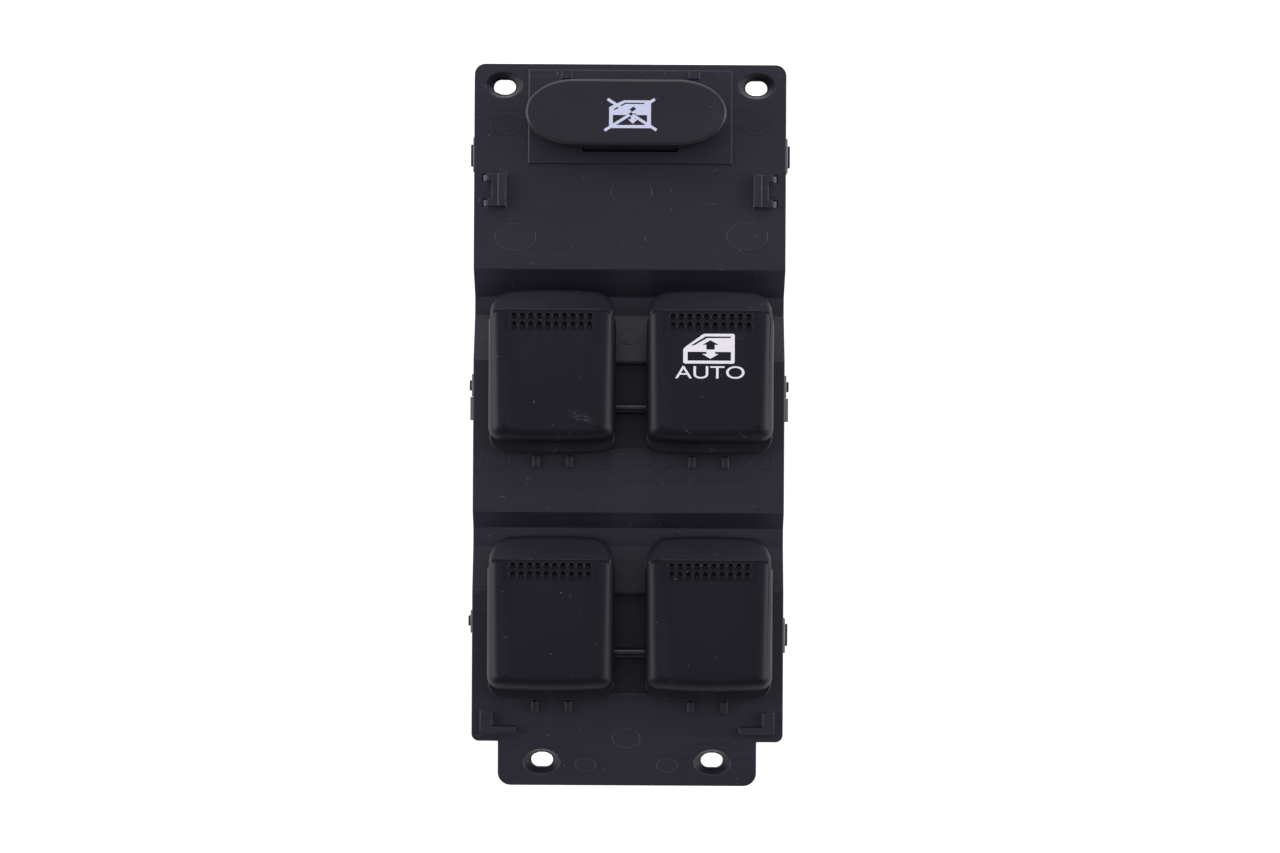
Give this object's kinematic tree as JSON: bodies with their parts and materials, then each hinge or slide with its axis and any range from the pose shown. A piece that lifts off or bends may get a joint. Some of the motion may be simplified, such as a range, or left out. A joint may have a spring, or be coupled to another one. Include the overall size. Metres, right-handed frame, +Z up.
{
  "type": "power window switch",
  "caption": "Driver's door power window switch: rocker caps in pairs on a black plate, a window lock button, screw slots and a grey case with a plug socket.",
  "frame": {"origin": "middle of the back of the grey case", "axes": "+X across the switch, +Y along it towards the window lock button, +Z up out of the face"},
  "size_m": [0.066, 0.1444, 0.038],
  "materials": {
    "top_plate": "fine-grained black moulding",
    "bottom_case": "plain grey moulding",
    "circuit_board": "green solder mask",
    "board_screws": "zinc-plated steel",
    "connector_shell": "black moulding",
    "connector_pins": "tinned brass",
    "control_chip": "black moulded package with tinned legs",
    "capacitor": "plain can",
    "chip_resistors": "ceramic with a dark coat",
    "lock_button": "fine-grained black moulding with a printed pictogram",
    "lock_plunger": "natural white moulding",
    "lock_spring": "spring steel",
    "lock_switch_base": "black moulding",
    "relay_left": "black relay cover",
    "relay_right": "black relay cover",
    "shaft_front": "ground steel",
    "shaft_rear": "ground steel",
    "contact_carrier_front": "black moulding",
    "contact_carrier_rear": "black moulding",
    "fixed_contacts_front": "plated pads",
    "fixed_contacts_rear": "plated pads",
    "rocker_cap_front_left": "fine-grained black moulding",
    "detent_pin_front_left": "natural white moulding",
    "detent_spring_front_left": "spring steel",
    "contact_slider_front_left": "natural white moulding",
    "contact_wiper_front_left": "copper alloy strip",
    "rocker_cap_front_right": "fine-grained black moulding",
    "detent_pin_front_right": "natural white moulding",
    "detent_spring_front_right": "spring steel",
    "contact_slider_front_right": "natural white moulding",
    "contact_wiper_front_right": "copper alloy strip",
    "rocker_cap_rear_left": "fine-grained black moulding",
    "detent_pin_rear_left": "natural white moulding",
    "detent_spring_rear_left": "spring steel",
    "contact_slider_rear_left": "natural white moulding",
    "contact_wiper_rear_left": "copper alloy strip",
    "rocker_cap_rear_right": "fine-grained black moulding",
    "detent_pin_rear_right": "natural white moulding",
    "detent_spring_rear_right": "spring steel",
    "contact_slider_rear_right": "natural white moulding",
    "contact_wiper_rear_right": "copper alloy strip"
  },
  "bodies": {
    "housing": {"top_plate": "top_plate", "bottom_case": "bottom_case", "circuit_board": "circuit_board", "board_screws": "board_screws", "connector_shell": "connector_shell", "connector_pins": "connector_pins", "control_chip": "control_chip", "capacitor": "capacitor", "chip_resistors": "chip_resistors", "lock_spring": "lock_spring", "lock_switch_base": "lock_switch_base", "relay_left": "relay_left", "relay_right": "relay_right", "shaft_front": "shaft_front", "shaft_rear": "shaft_rear", "contact_carrier_front": "contact_carrier_front", "contact_carrier_rear": "contact_carrier_rear", "fixed_contacts_front": "fixed_contacts_front", "fixed_contacts_rear": "fixed_contacts_rear"},
    "cap_front_left": {"rocker_cap_front_left": "rocker_cap_front_left", "detent_spring_front_left": "detent_spring_front_left"},
    "pin_front_left": {"detent_pin_front_left": "detent_pin_front_left"},
    "slider_front_left": {"contact_slider_front_left": "contact_slider_front_left", "contact_wiper_front_left": "contact_wiper_front_left"},
    "cap_front_right": {"rocker_cap_front_right": "rocker_cap_front_right", "detent_spring_front_right": "detent_spring_front_right"},
    "pin_front_right": {"detent_pin_front_right": "detent_pin_front_right"},
    "slider_front_right": {"contact_slider_front_right": "contact_slider_front_right", "contact_wiper_front_right": "contact_wiper_front_right"},
    "cap_rear_left": {"rocker_cap_rear_left": "rocker_cap_rear_left", "detent_spring_rear_left": "detent_spring_rear_left"},
    "pin_rear_left": {"detent_pin_rear_left": "detent_pin_rear_left"},
    "slider_rear_left": {"contact_slider_rear_left": "contact_slider_rear_left", "contact_wiper_rear_left": "contact_wiper_rear_left"},
    "cap_rear_right": {"rocker_cap_rear_right": "rocker_cap_rear_right", "detent_spring_rear_right": "detent_spring_rear_right"},
    "pin_rear_right": {"detent_pin_rear_right": "detent_pin_rear_right"},
    "slider_rear_right": {"contact_slider_rear_right": "contact_slider_rear_right", "contact_wiper_rear_right": "contact_wiper_rear_right"},
    "lock": {"lock_button": "lock_button", "lock_plunger": "lock_plunger"}
  },
  "joints": [
    {"name": "rock_front_left", "type": "hinge", "parent": "housing", "child": "cap_front_left", "pos_m": [-0.01515, 0.0033, 0.029], "axis": [1, 0, 0], "range_deg": [-5, 5], "stiffness_Nm_per_rad": 0.3},
    {"name": "pin_slide_front_left", "type": "slide", "parent": "cap_front_left", "child": "pin_front_left", "axis": [0, 0, 1], "range_m": [0, 0.0006], "stiffness_N_per_m": 300, "deforming": ["detent_spring_front_left"]},
    {"name": "slider_travel_front_left", "type": "slide", "parent": "housing", "child": "slider_front_left", "axis": [0, 1, 0], "range_m": [-0.00095, 0.00095]},
    {"name": "rock_front_right", "type": "hinge", "parent": "housing", "child": "cap_front_right", "pos_m": [0.01605, 0.0033, 0.029], "axis": [1, 0, 0], "range_deg": [-5, 5], "stiffness_Nm_per_rad": 0.3},
    {"name": "pin_slide_front_right", "type": "slide", "parent": "cap_front_right", "child": "pin_front_right", "axis": [0, 0, 1], "range_m": [0, 0.0006], "stiffness_N_per_m": 300, "deforming": ["detent_spring_front_right"]},
    {"name": "slider_travel_front_right", "type": "slide", "parent": "housing", "child": "slider_front_right", "axis": [0, 1, 0], "range_m": [-0.00095, 0.00095]},
    {"name": "rock_rear_left", "type": "hinge", "parent": "housing", "child": "cap_rear_left", "pos_m": [-0.01515, -0.0457, 0.029], "axis": [1, 0, 0], "range_deg": [-5, 5], "stiffness_Nm_per_rad": 0.3},
    {"name": "pin_slide_rear_left", "type": "slide", "parent": "cap_rear_left", "child": "pin_rear_left", "axis": [0, 0, 1], "range_m": [0, 0.0006], "stiffness_N_per_m": 300, "deforming": ["detent_spring_rear_left"]},
    {"name": "slider_travel_rear_left", "type": "slide", "parent": "housing", "child": "slider_rear_left", "axis": [0, 1, 0], "range_m": [-0.00095, 0.00095]},
    {"name": "rock_rear_right", "type": "hinge", "parent": "housing", "child": "cap_rear_right", "pos_m": [0.01605, -0.0457, 0.029], "axis": [1, 0, 0], "range_deg": [-5, 5], "stiffness_Nm_per_rad": 0.3},
    {"name": "pin_slide_rear_right", "type": "slide", "parent": "cap_rear_right", "child": "pin_rear_right", "axis": [0, 0, 1], "range_m": [0, 0.0006], "stiffness_N_per_m": 300, "deforming": ["detent_spring_rear_right"]},
    {"name": "slider_travel_rear_right", "type": "slide", "parent": "housing", "child": "slider_rear_right", "axis": [0, 1, 0], "range_m": [-0.00095, 0.00095]},
    {"name": "lock_press", "type": "slide", "parent": "housing", "child": "lock", "axis": [0, 0, -1], "range_m": [0, 0.002], "stiffness_N_per_m": 600, "deforming": ["lock_spring"]}
  ],
  "couplings": [
    {"joint": "slider_travel_front_left", "follows": "rock_front_left", "m_per_rad": 0.0104},
    {"joint": "slider_travel_front_right", "follows": "rock_front_right", "m_per_rad": 0.0104},
    {"joint": "slider_travel_rear_left", "follows": "rock_rear_left", "m_per_rad": 0.0104},
    {"joint": "slider_travel_rear_right", "follows": "rock_rear_right", "m_per_rad": 0.0104}
  ]
}
